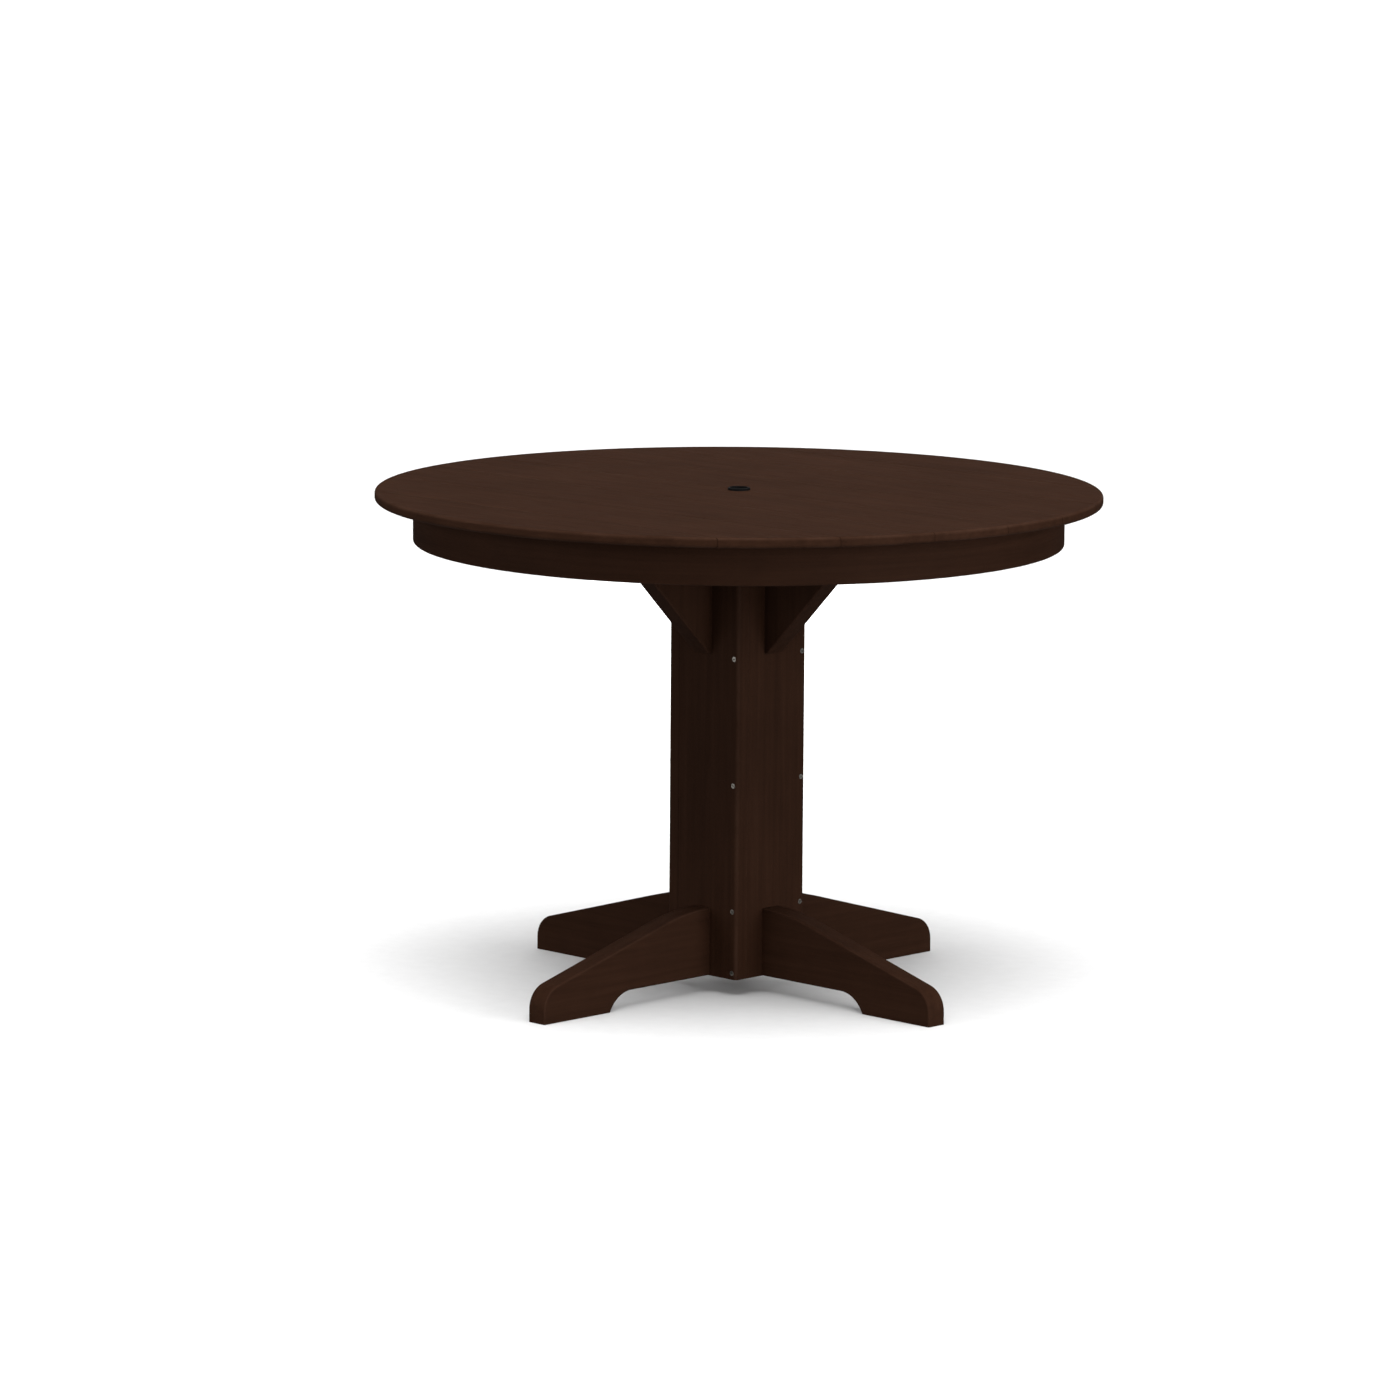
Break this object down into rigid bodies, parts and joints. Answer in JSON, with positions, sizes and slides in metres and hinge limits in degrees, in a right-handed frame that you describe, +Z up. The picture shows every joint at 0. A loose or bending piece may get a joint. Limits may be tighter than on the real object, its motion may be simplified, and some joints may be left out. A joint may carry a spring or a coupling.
{
  "type": "pedestal picnic table",
  "caption": "Round plank-topped pedestal table with an apron, a square hollow column, braced feet and an umbrella hole.",
  "frame": {"origin": "on the floor, under the centre of the column and of the round top", "axes": "+Z up; +X along the planks of the top; the feet and gussets point along +X, +Y, -X and -Y"},
  "size_m": [1.1176, 1.1168, 0.779],
  "materials": {
    "top_lumber": "dark brown recycled-plastic lumber, faint grain along the planks",
    "apron_lumber": "dark brown recycled-plastic lumber bent into a band",
    "column_lumber": "dark brown recycled-plastic lumber, upright grain",
    "brace_lumber": "dark brown recycled-plastic plate, cut edges rounded",
    "inner_lumber": "dark brown recycled-plastic lumber, unseen faces",
    "grommet_plastic": "black moulded plastic",
    "screw_steel": "stainless steel"
  },
  "bodies": {
    "root": {"apron_back": "apron_lumber", "apron_block_back_1": "inner_lumber", "apron_block_back_2": "inner_lumber", "apron_block_back_left": "inner_lumber", "apron_block_front_1": "inner_lumber", "apron_block_front_2": "inner_lumber", "apron_block_front_right": "inner_lumber", "apron_block_left": "inner_lumber", "apron_block_right": "inner_lumber", "apron_front": "apron_lumber", "apron_splice_left": "inner_lumber", "apron_splice_right": "inner_lumber", "block_screws_out": "screw_steel", "block_screws_up": "screw_steel", "centre_cleat": "inner_lumber", "column_board_back": "column_lumber", "column_board_front": "column_lumber", "column_board_left": "column_lumber", "column_board_right": "column_lumber", "column_head_plate": "inner_lumber", "column_screws_back": "screw_steel", "column_screws_front": "screw_steel", "column_screws_left": "screw_steel", "column_screws_right": "screw_steel", "foot_back": "brace_lumber", "foot_front": "brace_lumber", "foot_left": "brace_lumber", "foot_right": "brace_lumber", "foot_screws": "screw_steel", "gusset_back": "brace_lumber", "gusset_front": "brace_lumber", "gusset_left": "brace_lumber", "gusset_right": "brace_lumber", "gusset_screws": "screw_steel", "gusset_top_screws": "screw_steel", "head_screws": "screw_steel", "plank_screws_centre": "screw_steel", "plank_screws_left": "screw_steel", "plank_screws_right": "screw_steel", "plate_screws": "screw_steel", "pole_guide_plate": "inner_lumber", "side_cleat_left": "inner_lumber", "side_cleat_right": "inner_lumber", "top_plank_1": "top_lumber", "top_plank_2": "top_lumber", "top_plank_3": "top_lumber", "top_plank_4": "top_lumber", "top_plank_5": "top_lumber", "top_plank_6": "top_lumber", "top_plank_7": "top_lumber", "top_plank_8": "top_lumber", "umbrella_grommet": "grommet_plastic"}
  },
  "joints": []
}
